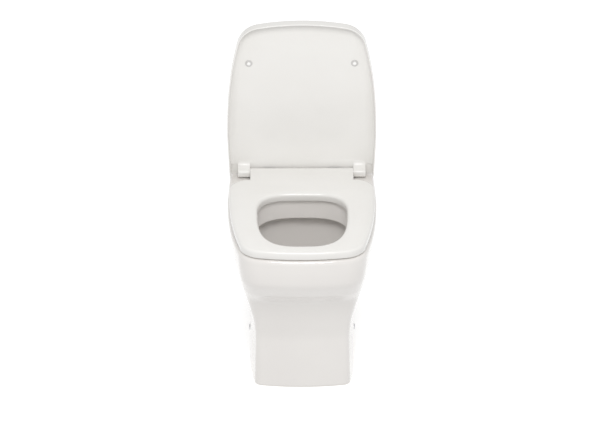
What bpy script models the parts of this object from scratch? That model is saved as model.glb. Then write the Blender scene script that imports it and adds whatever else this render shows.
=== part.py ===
"""Back-to-wall toilet: ceramic pan, soft-close seat and lid, quick-release hinges and fixings.

Metres, +Z up. The origin is on the floor, midway between the front of the rim and the wall.
+X is right for someone facing the toilet, and +Y points to the wall.
"""
from math import cos, pi, radians, sin, tan

import bmesh
import bpy
from mathutils import Matrix, Vector

# Overall sizes
PAN_DEPTH = 0.530
RIM_HEIGHT = 0.400
RIM_HALF_WIDTH = 0.180
FRONT_Y = -PAN_DEPTH / 2
WALL_Y = PAN_DEPTH / 2
GAP = 0.0003

# Hinge axis, shared by the seat and the lid, parallel to X
AXIS_Y = FRONT_Y + 0.405
AXIS_Z = RIM_HEIGHT + 0.0135
LID_OPEN_ANGLE = radians(93)

# Rim outline, from above
RIM_WIDEST_Y = FRONT_Y + 0.300
RIM_REAR_HALF_WIDTH = 0.167
RIM_EDGE_RADIUS = 0.010
FRONT_RADIUS = 0.610
FRONT_ANGLE = radians(10)
CORNER_RADIUS = 0.062
CORNER_ANGLE = radians(76)
TAPER_POWER = 1.1

# Foot outline, from above
FOOT_FRONT_Y = FRONT_Y + 0.085
FOOT_HALF_WIDTH = 0.1266
FOOT_REAR_HALF_WIDTH = 0.122
FOOT_WIDEST_Y = 0.030
FOOT_FRONT_RADIUS = 0.560
FOOT_FRONT_ANGLE = radians(10.2)
FOOT_CORNER_RADIUS = 0.020
FOOT_CORNER_ANGLE = radians(80)

# How far each height has grown from the foot outline (0) to the rim outline (1): (height, share)
WIDTH_GROWTH = ((0.0, 0.0), (0.060, -0.025), (0.120, -0.05), (0.170, 0.04), (0.210, 0.24), (0.250, 0.49),
                (0.290, 0.71), (0.335, 0.88), (0.370, 0.965), (0.400, 1.0))
DEPTH_GROWTH = ((0.0, 0.0), (0.126, 0.0), (0.180, 0.10), (0.245, 0.29), (0.290, 0.68), (0.335, 0.97),
                (0.370, 1.0), (0.400, 1.0))
SHELL_HEIGHTS = (0.0, 0.060, 0.120, 0.150, 0.180, 0.215, 0.245, 0.270, 0.290, 0.312, 0.335, 0.362, 0.390)
SHELL_WALL = 0.011
DECK_THICKNESS = 0.016

# Bowl: (height, front y, rear y, half width)
BOWL_SECTIONS = ((0.386, -0.252, 0.058, 0.152), (0.352, -0.250, 0.054, 0.150), (0.300, -0.232, 0.044, 0.135),
                 (0.250, -0.195, 0.030, 0.112), (0.200, -0.150, 0.015, 0.085), (0.150, -0.105, 0.000, 0.058),
                 (0.115, -0.085, -0.012, 0.042), (0.100, -0.070, -0.025, 0.025))
BOWL_WALL = 0.010
SKIRT_BOTTOM_Z = 0.352
SKIRT_THICKNESS = 0.008
RIM_GROWTH = ((SKIRT_BOTTOM_Z, 0.004), (0.388, 0.0115))

# Seat opening, relative to the hinge axis
OPENING_FRONT = -0.364
OPENING_WIDEST = -0.200
OPENING_REAR = -0.120
OPENING_HALF_WIDTH = 0.108
OPENING_FRONT_POWERS = (3.0, 2.9)
SEAT_REAR_POWERS = (3.5, 2.5)
RIM_REAR_POWERS = (2.8, 2.4)

# Trapway centre line (y, z) and bore
TRAP_PATH = ((-0.052, 0.152), (-0.032, 0.133), (-0.008, 0.121), (0.016, 0.119), (0.040, 0.132), (0.060, 0.162),
             (0.077, 0.200), (0.098, 0.231), (0.130, 0.243), (0.160, 0.229), (0.186, 0.202), (0.208, 0.187),
             (0.230, 0.183), (0.255, 0.183))
TRAP_RADIUS = 0.040
TRAP_WALL = 0.011
INLET_Z = 0.342
INLET_RADIUS = 0.027
INLET_WALL = 0.008
INLET_FRONT_Y = 0.050
INLET_BORE_Y = 0.072
INLET_REAR_Y = 0.200
DUCT_HALF_WIDTH = 0.016
DUCT_HEIGHTS = (0.354, 0.366)

# Seat, in heights relative to the hinge axis
SEAT_BOTTOM = -0.010
SEAT_TOP = 0.010
SEAT_INSET = 0.004
SEAT_BACK = -0.048
SEAT_CORNER_RADIUS = 0.048
SEAT_EDGE_WIDTH = 0.006
SEAT_EDGE_DROP = 0.005
EXTENSION_HALF_WIDTH = 0.1244

# Lid, closed, in heights relative to the hinge axis
LID_EDGE = -0.0115
LID_INNER = 0.0145
LID_TOP = 0.018
LID_WALL = 0.003
LID_OUTER_RADIUS = 0.008
LID_FILLET_WIDTH = 0.024
LID_FILLET_HEIGHT = 0.0085
LID_REAR = 0.0122
LID_REAR_RADIUS = 0.010
LID_SWING_RADIUS = 0.0131
LID_GAP_HALF_WIDTH = 0.1705
LID_GAP_START = -0.0165
LID_BUFFER_PLACE = (0.1275, -0.288)
LUG_INNER_X = 0.125
LUG_OUTER_X = 0.154
BUFFER_RADIUS = 0.009

# Hinge hardware, in places relative to the hinge axis
PIN_RADIUS = 0.004
BORE_RADIUS = 0.0043
DAMPER_RADIUS = 0.006
DAMPER_BORE = 0.0063
BLOCK_INNER_X = 0.064
BLOCK_OUTER_X = 0.091
BLOCK_FRONT = -0.0185
BLOCK_BOTTOM = -0.0108
STUD_X = 0.0775
STUD_Y = -0.009
STUD_HOLE_RADIUS = 0.007
BUTTON_Z = 0.0012
BUTTON_RADIUS = 0.0032
BUTTON_PROUD = 0.003

# Floor fixings
FIXING_Y = 0.043
FIXING_Z = 0.037
FIXING_FACE_X = 0.1250

WHITE_CERAMIC = ("white_glazed_ceramic", (0.83, 0.81, 0.78), 0.12, 0.0)
WHITE_PLASTIC = ("white_gloss_plastic", (0.83, 0.82, 0.79), 0.22, 0.0)
GREY_PLASTIC = ("grey_plastic", (0.35, 0.36, 0.37), 0.5, 0.0)
CLEAR_GREY_RUBBER = ("grey_rubber", (0.62, 0.62, 0.60), 0.6, 0.0)
BLACK_RUBBER = ("black_rubber", (0.03, 0.03, 0.03), 0.75, 0.0)
STEEL = ("stainless_steel", (0.62, 0.62, 0.63), 0.3, 1.0)


# ---------------------------------------------------------------- helpers

def clear_scene():
    for item in list(bpy.data.objects):
        bpy.data.objects.remove(item, do_unlink=True)


def material(recipe):
    name, colour, roughness, metallic = recipe
    found = bpy.data.materials.get(name)
    if found:
        return found
    made = bpy.data.materials.new(name)
    made.use_nodes = True
    shader = made.node_tree.nodes["Principled BSDF"]
    shader.inputs["Base Color"].default_value = (*colour, 1.0)
    shader.inputs["Roughness"].default_value = roughness
    shader.inputs["Metallic"].default_value = metallic
    return made


def object_from(bm, name):
    bmesh.ops.recalc_face_normals(bm, faces=bm.faces)
    mesh = bpy.data.meshes.new(name)
    bm.to_mesh(mesh)
    bm.free()
    made = bpy.data.objects.new(name, mesh)
    bpy.context.scene.collection.objects.link(made)
    return made


def loft(name, rings):
    """Closed body through rings of equal length, capped at both ends."""
    bm = bmesh.new()
    loops = [[bm.verts.new(point) for point in ring] for ring in rings]
    count = len(loops[0])
    for lower, upper in zip(loops, loops[1:]):
        for i in range(count):
            j = (i + 1) % count
            bm.faces.new((lower[i], lower[j], upper[j], upper[i]))
    bm.faces.new(list(reversed(loops[0])))
    bm.faces.new(loops[-1])
    return object_from(bm, name)


def revolve(name, profile, centre, axis="Z", segments=16):
    """Turned ring or disc: profile is a closed loop of (radius, distance along the axis)."""
    turn = {"Z": Matrix(), "Y": Matrix.Rotation(-pi / 2, 4, "X"), "X": Matrix.Rotation(pi / 2, 4, "Y")}[axis]
    place = Matrix.Translation(centre) @ turn
    bm = bmesh.new()
    columns = []
    for i in range(segments):
        angle = 2 * pi * i / segments
        columns.append([None if r < 1e-7 else bm.verts.new(place @ Vector((r * cos(angle), r * sin(angle), h)))
                        for r, h in profile])
    poles = [bm.verts.new(place @ Vector((0, 0, h))) if r < 1e-7 else None for r, h in profile]
    count = len(profile)
    for i in range(segments):
        here, there = columns[i], columns[(i + 1) % segments]
        for k in range(count):
            m = (k + 1) % count
            corners = [here[k] or poles[k], there[k] or poles[k], there[m] or poles[m], here[m] or poles[m]]
            unique = list(dict.fromkeys(corners))
            if len(unique) > 2:
                bm.faces.new(unique)
    return object_from(bm, name)


def cylinder(name, radius, start, end, centre, axis="Z", segments=16):
    return revolve(name, ((0, start), (radius, start), (radius, end), (0, end)), centre, axis, segments)


def extruded_x(name, outline, x0, x1):
    """Outline of (y, z) points swept along X."""
    rings = [[(x, y, z) for y, z in outline] for x in (x0, x1)]
    return loft(name, rings)


def extruded_z(name, outline, z0, z1):
    """Outline of (x, y) points swept along Z."""
    return loft(name, [[(x, y, z) for x, y in outline] for z in (z0, z1)])


def box(name, low, high):
    outline = ((low[0], low[1]), (high[0], low[1]), (high[0], high[1]), (low[0], high[1]))
    return extruded_z(name, outline, low[2], high[2])


def combine(target, other, operation):
    """Exact Boolean of two objects, kept as the target's mesh; the other object is used up."""
    modifier = target.modifiers.new(operation.lower(), "BOOLEAN")
    modifier.operation = operation
    modifier.solver = "EXACT"
    modifier.object = other
    bpy.context.view_layer.update()
    graph = bpy.context.evaluated_depsgraph_get()
    mesh = bpy.data.meshes.new_from_object(target.evaluated_get(graph))
    target.modifiers.clear()
    target.data = mesh
    mesh.name = target.name
    bpy.data.objects.remove(other, do_unlink=True)


def cut(target, *others):
    for other in others:
        combine(target, other, "DIFFERENCE")


def join(target, *others):
    for other in others:
        combine(target, other, "UNION")


def finish(item, recipe, parent=None):
    item.data.materials.clear()
    item.data.materials.append(material(recipe))
    item.data.shade_smooth()
    item.data.set_sharp_from_angle(angle=radians(35))
    if parent:
        item.parent = parent
    return item


def pivot(name, location, rotation_x=0.0, parent=None):
    """Empty that carries the pieces of one moving body."""
    made = bpy.data.objects.new(name, None)
    made.empty_display_size = 0.05
    made.location = location
    made.rotation_euler.x = rotation_x
    bpy.context.scene.collection.objects.link(made)
    if parent:
        made.parent = parent
    return made


def arc(centre, radius, start, end, steps):
    """Points (a, b) along an arc, from the start angle to the end angle."""
    return [(centre[0] + radius * cos(start + (end - start) * i / steps),
             centre[1] + radius * sin(start + (end - start) * i / steps)) for i in range(steps + 1)]


def smooth_value(table, position):
    """Monotone cubic curve through a table of (position, value)."""
    steps = [(b[0] - a[0], (b[1] - a[1]) / (b[0] - a[0])) for a, b in zip(table, table[1:])]
    slopes = [0.0]
    for (h0, d0), (h1, d1) in zip(steps, steps[1:]):
        slopes.append(0.0 if d0 * d1 <= 0 else 3 * (h0 + h1) / ((2 * h1 + h0) / d0 + (h1 + 2 * h0) / d1))
    slopes.append(0.0)
    for i, (h, _) in enumerate(steps):
        if position <= table[i + 1][0] or i == len(steps) - 1:
            t = (position - table[i][0]) / h
            value = (2 * t**3 - 3 * t**2 + 1) * table[i][1] + (3 * t**2 - 2 * t**3) * table[i + 1][1]
            return value + h * ((t**3 - 2 * t**2 + t) * slopes[i] + (t**3 - t**2) * slopes[i + 1])


# ---------------------------------------------------------------- outlines from above

def half_outline(front_y, front_radius, front_angle, corner_radius, corner_angle, widest_y, half_width,
                 rear_y, rear_half_width, counts=(4, 6, 5, 4)):
    """Right half of a D-shaped outline, front centre to rear: front arc, corner arc, swelling side, taper."""
    points = []
    for i in range(counts[0]):
        a = front_angle * i / counts[0]
        points.append((front_radius * sin(a), front_y + front_radius * (1 - cos(a))))
    centre_x = (front_radius - corner_radius) * sin(front_angle)
    centre_y = front_y + front_radius - (front_radius - corner_radius) * cos(front_angle)
    for i in range(counts[1]):
        a = front_angle + (corner_angle - front_angle) * i / counts[1]
        points.append((centre_x + corner_radius * sin(a), centre_y - corner_radius * cos(a)))
    end_x = centre_x + corner_radius * sin(corner_angle)
    end_y = centre_y - corner_radius * cos(corner_angle)
    swell = half_width - end_x
    length = widest_y - end_y
    power = tan(pi / 2 - corner_angle) * length / swell
    for i in range(counts[2]):
        u = 1 - i / counts[2]
        points.append((half_width - swell * u**power, widest_y - length * u))
    for i in range(counts[3] + 1):
        u = i / counts[3]
        points.append((half_width - (half_width - rear_half_width) * u**TAPER_POWER,
                       widest_y + (rear_y - widest_y) * u))
    return points


def rim_taper(y):
    """Half width of the rim outline behind its widest place."""
    u = (y - RIM_WIDEST_Y) / (WALL_Y - RIM_WIDEST_Y)
    return RIM_HALF_WIDTH - (RIM_HALF_WIDTH - RIM_REAR_HALF_WIDTH) * u**TAPER_POWER


def rim_outline(inset=0.0, rear_y=WALL_Y, counts=(4, 6, 5, 4)):
    return half_outline(FRONT_Y + inset, FRONT_RADIUS - inset, FRONT_ANGLE, CORNER_RADIUS - inset, CORNER_ANGLE,
                        RIM_WIDEST_Y, RIM_HALF_WIDTH - inset, rear_y, rim_taper(rear_y) - inset, counts)


def foot_outline(counts):
    return half_outline(FOOT_FRONT_Y, FOOT_FRONT_RADIUS, FOOT_FRONT_ANGLE, FOOT_CORNER_RADIUS,
                        FOOT_CORNER_ANGLE, FOOT_WIDEST_Y, FOOT_HALF_WIDTH, WALL_Y, FOOT_REAR_HALF_WIDTH, counts)


def mirrored(half):
    """Whole ring from its right half, which starts at the front centre."""
    return list(half) + [(-x, y) for x, y in reversed(half[1:])]


def inset_ring(ring, distance, fixed_y=None):
    """Move a counter-clockwise ring inwards; points on the fixed line slide along it."""
    moved = []
    for i, (x, y) in enumerate(ring):
        before = Vector(ring[i - 1])
        after = Vector(ring[(i + 1) % len(ring)])
        if fixed_y is not None and abs(y - fixed_y) < 1e-6:
            moved.append((x - distance if x > 0 else x + distance, y))
            continue
        tangent = (after - before).normalized()
        moved.append((x - tangent.y * distance, y + tangent.x * distance))
    return moved


def at_height(ring, z):
    return [(x, y, z) for x, y in ring]


def opening_ring(growth, rear_powers, steps=32):
    """Rounded opening of the seat or the rim, grown outwards by a distance; y is from the axis."""
    ring = []
    for i in range(steps):
        angle = 2 * pi * i / steps
        c, s = sin(angle), -cos(angle)
        side_power, end_power = OPENING_FRONT_POWERS if s < 0 else rear_powers
        end = (OPENING_WIDEST - OPENING_FRONT if s < 0 else OPENING_REAR - OPENING_WIDEST) + growth
        x = (OPENING_HALF_WIDTH + growth) * (abs(c) ** (2 / side_power)) * (1 if c > 0 else -1)
        y = OPENING_WIDEST + end * (abs(s) ** (2 / end_power)) * (1 if s > 0 else -1)
        ring.append((x, y))
    return ring


# ---------------------------------------------------------------- ceramic pan

def shell_section(z, counts=(4, 6, 5, 4)):
    """Outer ring of the pan at a height, blended between the foot and the rim."""
    width = smooth_value(WIDTH_GROWTH, z)
    depth = smooth_value(DEPTH_GROWTH, z)
    foot = foot_outline(counts)
    rim = rim_outline(counts=counts)
    half = [(fx + (rx - fx) * width, fy + (ry - fy) * depth) for (fx, fy), (rx, ry) in zip(foot, rim)]
    return mirrored(half)


def pan_shell():
    rings = [at_height(shell_section(z), z) for z in SHELL_HEIGHTS]
    top = shell_section(RIM_HEIGHT - RIM_EDGE_RADIUS)
    for step in (1, 2, 3):
        angle = radians(30 * step)
        ring = inset_ring(top, RIM_EDGE_RADIUS * (1 - cos(angle)), WALL_Y)
        rings.append(at_height(ring, RIM_HEIGHT - RIM_EDGE_RADIUS * (1 - sin(angle))))
    return loft("pan", rings)


def hood_cavity():
    """Hollow of the pan's skirt: open at the floor and at the wall."""
    counts = (2, 3, 3, 3)
    rings = []
    beyond_wall = 0.010
    for z in (-0.010, 0.060, 0.120, 0.180, 0.245, 0.290, 0.335, RIM_HEIGHT - DECK_THICKNESS):
        ring = inset_ring(shell_section(max(z, 0.0), counts), SHELL_WALL, WALL_Y)
        ring = [(x, y + beyond_wall if abs(y - WALL_Y) < 1e-6 else y) for x, y in ring]
        rings.append(at_height(ring, z))
    return loft("hood_cavity", rings)


def bowl_ring(front, rear, half_width, steps=28, power=2.6):
    centre = (front + rear) / 2
    ring = []
    for i in range(steps):
        angle = 2 * pi * i / steps
        c, s = sin(angle), -cos(angle)
        x = half_width * abs(c) ** (2 / power) * (1 if c > 0 else -1)
        y = centre + (rear - front) / 2 * abs(s) ** (2 / power) * (1 if s > 0 else -1)
        ring.append((x, y))
    return ring


def bowl_body(name, wall, top_z, floor_drop):
    rings = []
    for i, (z, front, rear, half_width) in enumerate(BOWL_SECTIONS):
        level = top_z if i == 0 else z
        if i == len(BOWL_SECTIONS) - 1:
            level = z - floor_drop
        rings.append(at_height(bowl_ring(front - wall, rear + wall, half_width + wall), level))
    return loft(name, rings)


def tube_along(name, path, radius, sides=16):
    """Tube in the YZ plane, round in the plane across its path."""
    rings = []
    for i, (y, z) in enumerate(path):
        before = Vector(path[max(i - 1, 0)])
        after = Vector(path[min(i + 1, len(path) - 1)])
        tangent = (after - before).normalized()
        across = Vector((-tangent.y, tangent.x))
        ring = []
        for k in range(sides):
            angle = 2 * pi * k / sides
            offset = across * radius * sin(angle)
            ring.append((radius * cos(angle), y + offset.x, z + offset.y))
        rings.append(ring)
    return loft(name, rings)


def rim_rings(extra, below=0.0, above=0.0):
    """Rings of the rim's inner wall, which leans outwards from its lower edge up to the deck."""
    (low_z, low), (high_z, high) = RIM_GROWTH
    levels = [(low_z, low), (high_z, high)]
    if below:
        levels = [(low_z - below, low)] + levels + [(high_z + above, high)]
    return [at_height([(x, y + AXIS_Y) for x, y in opening_ring(growth + extra, RIM_REAR_POWERS)], z)
            for z, growth in levels]


def make_pan():
    pan = pan_shell()
    cut(pan, hood_cavity())
    join(pan, bowl_body("bowl_outside", BOWL_WALL, RIM_HEIGHT - 0.008, BOWL_WALL))
    join(pan, tube_along("trap_outside", TRAP_PATH[1:], TRAP_RADIUS + TRAP_WALL))
    inlet_end = (INLET_FRONT_Y, INLET_REAR_Y)
    join(pan, cylinder("inlet_outside", INLET_RADIUS + INLET_WALL, *inlet_end, (0, 0, INLET_Z), "Y", 20))
    cut(pan, bowl_body("bowl_inside", 0.0, 0.386, 0.0))
    join(pan, loft("rim_skirt", rim_rings(SKIRT_THICKNESS)))
    cut(pan, loft("rim_opening", rim_rings(0.0, 0.010, 0.022)))
    beyond = (TRAP_PATH[-1][0] + 0.020, TRAP_PATH[-1][1])
    cut(pan, tube_along("trap_inside", TRAP_PATH + (beyond,), TRAP_RADIUS))
    bore_end = (INLET_BORE_Y, INLET_REAR_Y + 0.010)
    cut(pan, cylinder("inlet_inside", INLET_RADIUS, *bore_end, (0, 0, INLET_Z), "Y", 20))
    cut(pan, box("rim_duct", (-DUCT_HALF_WIDTH, INLET_FRONT_Y - 0.005, DUCT_HEIGHTS[0]),
                 (DUCT_HALF_WIDTH, INLET_BORE_Y + 0.008, DUCT_HEIGHTS[1])))
    for side in (-1, 1):
        cut(pan, cylinder("seat_hole", STUD_HOLE_RADIUS, RIM_HEIGHT - 0.030, RIM_HEIGHT + 0.010,
                          (side * STUD_X, AXIS_Y + STUD_Y, 0)))
        centre = (0, FIXING_Y, FIXING_Z)
        cut(pan, cylinder("fixing_hole", 0.0030, side * 0.100, side * 0.140, centre, "X", 12))
        cut(pan, cylinder("fixing_head_hole", 0.0058, side * (FIXING_FACE_X - 0.0040), side * 0.140, centre, "X"))
        cut(pan, cylinder("fixing_spot_face", 0.0085, side * FIXING_FACE_X, side * 0.140, centre, "X"))
    return finish(pan, WHITE_CERAMIC)


# ---------------------------------------------------------------- seat

def seat_outline():
    """Right half of the seat's D shape, y from the axis: rim outline with rounded rear corners."""
    front = rim_outline(SEAT_INSET, RIM_WIDEST_Y + 0.001)[:-5]
    half = [(x, y - AXIS_Y) for x, y in front]
    radius = SEAT_CORNER_RADIUS
    half_width = RIM_HALF_WIDTH - SEAT_INSET
    half.append((half_width, RIM_WIDEST_Y - AXIS_Y))
    half += arc((half_width - radius, SEAT_BACK - radius), radius, 0.0, pi / 2, 6)
    return half


def seat_ring_body():
    outline = mirrored(seat_outline())
    levels = [(0.0015, SEAT_BOTTOM), (0.0, SEAT_BOTTOM + 0.0015), (0.0, SEAT_TOP - SEAT_EDGE_DROP)]
    for step in (1, 2, 3):
        angle = radians(30 * step)
        levels.append((SEAT_EDGE_WIDTH * (1 - cos(angle)), SEAT_TOP - SEAT_EDGE_DROP * (1 - sin(angle))))
    return loft("seat", [at_height(inset_ring(outline, inset), z) for inset, z in levels])


def seat_extension():
    """Rear part of the seat, rounded about the hinge axis."""
    outline = [(SEAT_BACK - 0.020, SEAT_BOTTOM), (SEAT_BACK - 0.020, SEAT_TOP)]
    outline += arc((0, 0), SEAT_TOP, pi / 2, -pi / 2, 10)
    return extruded_x("seat_extension", outline, -EXTENSION_HALF_WIDTH, EXTENSION_HALF_WIDTH)


def seat_opening_cutter():
    edge = 0.0045
    levels = [(edge, SEAT_TOP + 0.002), (edge, SEAT_TOP + 0.00005)]
    for angle in (radians(60), radians(30), 0.0):
        levels.append((edge * (1 - cos(angle)), SEAT_TOP - edge * (1 - sin(angle))))
    levels += [(0.0, SEAT_BOTTOM + 0.0015), (0.0015, SEAT_BOTTOM - 0.00005), (0.0015, SEAT_BOTTOM - 0.002)]
    return loft("seat_opening", [at_height(opening_ring(growth, SEAT_REAR_POWERS), z) for growth, z in reversed(levels)])


def hinge_pocket(side):
    """Room for a hinge block under the seat's extension, open below and behind."""
    skin = 0.0015
    radius = SEAT_TOP - skin
    outline = [(-0.026, SEAT_BOTTOM - 0.002), (-0.026, radius)]
    outline += arc((0, 0), radius, pi / 2, radians(30), 4)
    outline += [(0.012, 0.0069), (0.012, SEAT_BOTTOM - 0.002)]
    x0 = side * (BLOCK_INNER_X - 0.001)
    x1 = side * (BLOCK_OUTER_X + 0.001)
    return extruded_x("hinge_pocket", outline, x0, x1)


def make_seat(pivot_object):
    seat = seat_ring_body()
    join(seat, seat_extension())
    cut(seat, seat_opening_cutter())
    for side in (-1, 1):
        cut(seat, hinge_pocket(side))
        cut(seat, cylinder("pin_bore", BORE_RADIUS, side * 0.044, side * 0.130, (0, 0, 0), "X", 16))
        cut(seat, cylinder("damper_bore", DAMPER_BORE, side * 0.098, side * 0.130, (0, 0, 0), "X", 16))
    for x, y in seat_buffer_places():
        cut(seat, cylinder("buffer_hole", 0.0043, SEAT_BOTTOM - 0.005, SEAT_BOTTOM + 0.0045, (x, y, 0), "Z", 12))
    return finish(seat, WHITE_PLASTIC, pivot_object)


def seat_buffer_places():
    front = (0.118, -0.330)
    rear = (0.135, -0.105)
    return [(side * x, y) for x, y in (front, rear) for side in (-1, 1)]


def make_seat_buffers(pivot_object):
    names = ("seat_buffer_front_left", "seat_buffer_front_right", "seat_buffer_rear_left",
             "seat_buffer_rear_right")
    floor = RIM_HEIGHT - AXIS_Z + GAP
    top = SEAT_BOTTOM - GAP
    profile = ((0, floor), (0.0070, floor), (BUFFER_RADIUS, floor + 0.0015), (BUFFER_RADIUS, top),
               (0.0040, top), (0.0040, top + 0.0045), (0, top + 0.0045))
    for name, (x, y) in zip(names, seat_buffer_places()):
        finish(revolve(name, profile, (x, y, 0), "Z", 14), CLEAR_GREY_RUBBER, pivot_object)


# ---------------------------------------------------------------- lid

def lid_outline(inset):
    """Rim outline cut off behind the hinge axis, with rounded rear corners; y is from the axis."""
    radius = max(LID_REAR_RADIUS - inset, 0.002)
    corner_y = LID_REAR - inset - radius
    half = [(x, y - AXIS_Y) for x, y in rim_outline(inset, AXIS_Y + corner_y)]
    half = half[:-1] + arc((half[-1][0] - radius, corner_y), radius, 0.0, pi / 2, 4)
    return mirrored(half)


def lid_outside():
    levels = [(0.0005, LID_EDGE), (0.0, LID_EDGE + 0.0008), (0.0, LID_TOP - LID_OUTER_RADIUS)]
    for step in (1, 2, 3):
        angle = radians(30 * step)
        levels.append((LID_OUTER_RADIUS * (1 - cos(angle)), LID_TOP - LID_OUTER_RADIUS * (1 - sin(angle))))
    return loft("lid", [at_height(lid_outline(inset), z) for inset, z in levels])


def lid_inside():
    """Hollow of the tray: an upright wall, then a wide fillet up to the flat inner face."""
    fillet_start = LID_INNER - LID_FILLET_HEIGHT
    rings = [at_height(lid_outline(LID_WALL), LID_EDGE - 0.002), at_height(lid_outline(LID_WALL), fillet_start)]
    for step in (1, 2, 3, 4):
        angle = radians(22.5 * step)
        inset = LID_WALL + LID_FILLET_WIDTH * (1 - cos(angle))
        rings.append(at_height(lid_outline(inset), fillet_start + LID_FILLET_HEIGHT * sin(angle)))
    return loft("lid_hollow", rings)


def lid_lug(side):
    """Lug that joins the lid's inner face to the hinge pin."""
    bottom = -0.0095
    rear = 0.0110
    corner = 0.007
    outline = [(-0.0160, LID_INNER + 0.001), (-0.0045, bottom + 0.0020), (-0.0020, bottom)]
    outline += arc((rear - corner, bottom + corner), corner, -pi / 2, 0.0, 5)
    outline += [(rear, 0.009), (0.004, LID_INNER + 0.001)]
    return extruded_x("lid_lug", outline, side * LUG_INNER_X, side * LUG_OUTER_X)


def lid_swing_room():
    """Cutter that rounds the rear of the walls about the hinge axis, clear of the deck as the lid turns."""
    outline = arc((0, 0), LID_SWING_RADIUS, -pi / 2, -radians(15), 6)
    outline += [(0.030, outline[-1][1]), (0.030, -0.030), (0, -0.030)]
    return extruded_x("lid_swing_room", outline, -0.190, 0.190)


def make_lid(pivot_object):
    lid = lid_outside()
    cut(lid, lid_inside())
    gap_low = (-LID_GAP_HALF_WIDTH, LID_GAP_START, LID_EDGE - 0.002)
    cut(lid, box("lid_rear_gap", gap_low, (LID_GAP_HALF_WIDTH, LID_REAR + 0.002, LID_INNER)))
    cut(lid, lid_swing_room())
    for side in (-1, 1):
        join(lid, lid_lug(side))
        cut(lid, cylinder("lid_bore", DAMPER_BORE, side * 0.120, side * 0.150, (0, 0, 0), "X", 16))
        cut(lid, cylinder("lid_buffer_hole", 0.0038, LID_INNER - 0.010, LID_INNER + 0.0025,
                          (side * LID_BUFFER_PLACE[0], LID_BUFFER_PLACE[1], 0), "Z", 12))
    return finish(lid, WHITE_PLASTIC, pivot_object)


def make_lid_buffers(pivot_object):
    top = LID_INNER - GAP
    tip = SEAT_TOP + GAP
    profile = ((0, tip), (0.0040, tip + 0.0003), (0.0070, tip + 0.0010), (BUFFER_RADIUS, top),
               (0.0035, top), (0.0035, top + 0.0025), (0, top + 0.0025))
    for name, side in (("lid_buffer_left", -1), ("lid_buffer_right", 1)):
        place = (side * LID_BUFFER_PLACE[0], LID_BUFFER_PLACE[1], 0)
        finish(revolve(name, profile, place, "Z", 14), CLEAR_GREY_RUBBER, pivot_object)


# ---------------------------------------------------------------- hinges

def make_hinge_block(name, side, parent):
    radius = 0.0077
    outline = [(BLOCK_FRONT, BLOCK_BOTTOM), (BLOCK_FRONT, 0.0050), (BLOCK_FRONT + 0.0030, radius)]
    outline += arc((0, 0), radius, pi / 2, -radians(45), 8)
    outline += [(0.0020, -0.0080), (0.0020, BLOCK_BOTTOM)]
    block = extruded_x(name, outline, side * BLOCK_INNER_X, side * BLOCK_OUTER_X)
    cut(block, cylinder("pin_hole", BORE_RADIUS, side * 0.060, side * 0.095, (0, 0, 0), "X", 16))
    cut(block, cylinder("stud_socket", 0.0053, BLOCK_BOTTOM - 0.002, -0.0047, (side * STUD_X, STUD_Y, 0)))
    cut(block, cylinder("button_hole", BUTTON_RADIUS + 0.0003, BLOCK_FRONT - 0.003, -0.0090,
                        (side * STUD_X, 0, BUTTON_Z), "Y", 14))
    return finish(block, GREY_PLASTIC, parent)


def make_hinges(carrier, seat_pivot, lid_pivot):
    for name, side in (("left", -1), ("right", 1)):
        make_hinge_block("hinge_block_" + name, side, carrier)
        pin = cylinder("hinge_pin_" + name, PIN_RADIUS, side * 0.0455, side * 0.1480, (0, 0, 0), "X", 14)
        finish(pin, STEEL, carrier)
        for label, start, end, parent in (("seat_damper_", 0.0984, 0.1240, seat_pivot),
                                          ("lid_damper_", 0.1254, 0.1496, lid_pivot)):
            profile = ((BORE_RADIUS, start), (DAMPER_RADIUS, start), (DAMPER_RADIUS, end), (BORE_RADIUS, end))
            profile = tuple((r, side * h) for r, h in profile)
            finish(revolve(label + name, profile, (0, 0, 0), "X", 14), GREY_PLASTIC, parent)


def make_release_buttons(carrier):
    front = BLOCK_FRONT - BUTTON_PROUD
    profile = ((0, front), (0.0024, front), (BUTTON_RADIUS, front + 0.0008), (BUTTON_RADIUS, front + 0.0095),
               (0, front + 0.0095))
    for name, side in (("left", -1), ("right", 1)):
        slide = pivot("button_slide_" + name, (side * STUD_X, 0, BUTTON_Z), parent=carrier)
        finish(revolve("release_button_" + name, profile, (0, 0, 0), "Y", 14), STEEL, slide)


# ---------------------------------------------------------------- seat fixings under the deck

def make_seat_fixings():
    for name, side in (("left", -1), ("right", 1)):
        place = (side * STUD_X, AXIS_Y + STUD_Y, 0)
        deck = RIM_HEIGHT + GAP
        stud = ((0, 0.345), (0.0032, 0.345), (0.0040, 0.346), (0.0040, deck), (0.0130, deck),
                (0.0130, deck + 0.0018), (0.0050, deck + 0.0020), (0.0050, 0.4078), (0.0043, 0.4085), (0, 0.4085))
        finish(revolve("seat_stud_" + name, stud, place), STEEL)
        under = RIM_HEIGHT - DECK_THICKNESS - GAP
        bush = ((0.0043, under - 0.008), (0.0120, under - 0.008), (0.0130, under - 0.006), (0.0130, under),
                (0.0067, under), (0.0067, 0.3990), (0.0043, 0.3990))
        finish(revolve("stud_bush_" + name, bush, place), BLACK_RUBBER)
        washer_top = under - 0.008 - GAP
        washer = ((0.0043, washer_top - 0.0015), (0.0120, washer_top - 0.0015), (0.0120, washer_top),
                  (0.0043, washer_top))
        finish(revolve("stud_washer_" + name, washer, place), STEEL)
        make_wing_nut("wing_nut_" + name, place, washer_top - 0.0015 - GAP)


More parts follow.
